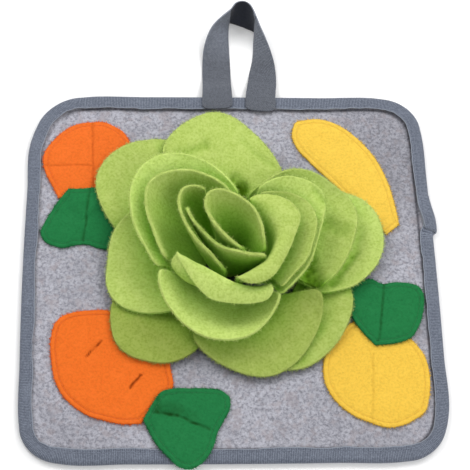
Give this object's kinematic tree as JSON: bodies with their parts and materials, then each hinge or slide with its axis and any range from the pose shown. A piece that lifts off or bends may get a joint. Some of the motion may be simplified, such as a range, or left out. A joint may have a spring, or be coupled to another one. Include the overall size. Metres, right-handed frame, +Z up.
{
  "type": "snuffle mat",
  "caption": "Square felt mat with bound edges, a large layered fleece rose with pockets between its petals, fleece fruit and leaf shapes and a hanging loop, for hiding dry treats.",
  "frame": {"origin": "middle of the felt square at its underside, which lies on the ground", "axes": "+X to the right with the hanging loop at the back, +Y from the middle towards the hanging loop, +Z up"},
  "size_m": [0.3274, 0.4136, 0.0745],
  "materials": {
    "grey_felt": "needled grey melange felt",
    "binding_tape": "woven grey binding tape",
    "webbing": "ribbed grey webbing",
    "green_fleece": "brushed fleece with a soft nap",
    "orange_fleece": "brushed fleece with a soft nap",
    "dark_green_fleece": "brushed fleece with a soft nap",
    "banana_fleece": "brushed fleece with a soft nap",
    "lemon_fleece": "brushed fleece with a soft nap"
  },
  "bodies": {
    "root": {"felt_base": "grey_felt", "edge_binding": "binding_tape", "hanging_loop": "webbing", "orange_patch": "orange_fleece", "orange_leaf": "dark_green_fleece", "carrot_patch": "orange_fleece", "carrot_leaf": "dark_green_fleece", "banana_patch": "banana_fleece", "lemon_patch": "lemon_fleece", "lemon_leaf": "dark_green_fleece", "petal_bud": "green_fleece", "petal_bud_front": "green_fleece", "petal_bud_left": "green_fleece", "petal_wrap_right": "green_fleece", "petal_front_flap": "green_fleece", "petal_left_inner": "green_fleece", "petal_left_outer": "green_fleece", "petal_front_cup": "green_fleece", "petal_right_inner": "green_fleece", "petal_right_middle": "green_fleece", "petal_right_outer": "green_fleece", "petal_low_right": "green_fleece", "petal_low_front": "green_fleece", "petal_low_front_right": "green_fleece", "petal_low_front_left": "green_fleece", "petal_low_left": "green_fleece", "petal_low_back_left": "green_fleece", "petal_low_back": "green_fleece"}
  },
  "joints": []
}
